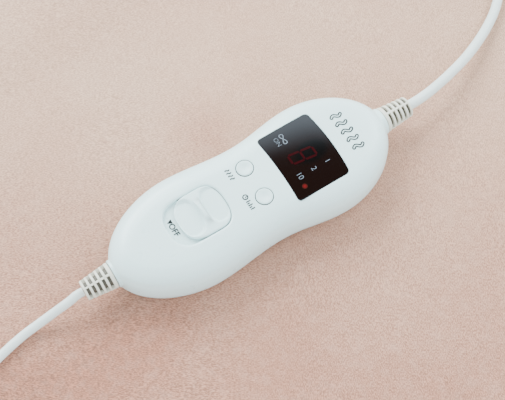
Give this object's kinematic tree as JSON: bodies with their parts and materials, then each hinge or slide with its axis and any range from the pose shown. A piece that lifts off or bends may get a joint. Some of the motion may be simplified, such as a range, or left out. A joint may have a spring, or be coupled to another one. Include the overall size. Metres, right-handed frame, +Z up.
{
  "type": "electric heated blanket",
  "caption": "Soft plush heated blanket laid flat, with a hand controller that has a display, push buttons and a slide switch, its lead, and a mains cord with a flat plug.",
  "frame": {"origin": "bottom centre of the blanket, on the surface it lies on", "axes": "+X along the blanket's length, the lead's inlet towards -X; +Y across it; +Z up"},
  "size_m": [1.5, 0.8, 0.0308],
  "materials": {
    "plush": "short brushed pile, dull, with a faint sheen",
    "white_plastic": "smooth moulded, semi-gloss",
    "button_plastic": "smooth moulded, satin",
    "dark_window": "polished dark window",
    "cream_vinyl": "soft moulded, satin",
    "white_vinyl": "smooth extruded, satin",
    "tie_strap": "woven strap, dull",
    "nickel": "plated, lightly brushed"
  },
  "bodies": {
    "blanket": {"blanket_cloth": "plush", "controller_base": "white_plastic", "controller_top": "white_plastic", "display_window": "dark_window", "lead_relief": "cream_vinyl", "mains_relief": "cream_vinyl", "lead_cord": "white_vinyl", "inlet_housing": "white_plastic", "inlet_relief": "white_vinyl", "mains_cord": "white_vinyl", "mains_coil": "white_vinyl", "mains_tail": "white_vinyl", "coil_tie": "tie_strap", "plug_relief": "white_vinyl", "plug_body": "white_plastic", "plug_pin_left": "nickel", "plug_pin_right": "nickel"},
    "slider": {"power_slider": "button_plastic"},
    "heat_key": {"heat_button": "button_plastic"},
    "timer_key": {"timer_button": "button_plastic"}
  },
  "joints": [
    {"name": "power_slide", "type": "slide", "parent": "blanket", "child": "slider", "axis": [-0.8453, -0.5344, 0], "range_m": [0, 0.0053]},
    {"name": "heat_press", "type": "slide", "parent": "blanket", "child": "heat_key", "axis": [0, 0, -1], "range_m": [0, 0.001], "stiffness_N_per_m": 500, "springref_m": -0.0004},
    {"name": "timer_press", "type": "slide", "parent": "blanket", "child": "timer_key", "axis": [0, 0, -1], "range_m": [0, 0.001], "stiffness_N_per_m": 500, "springref_m": -0.0004}
  ]
}
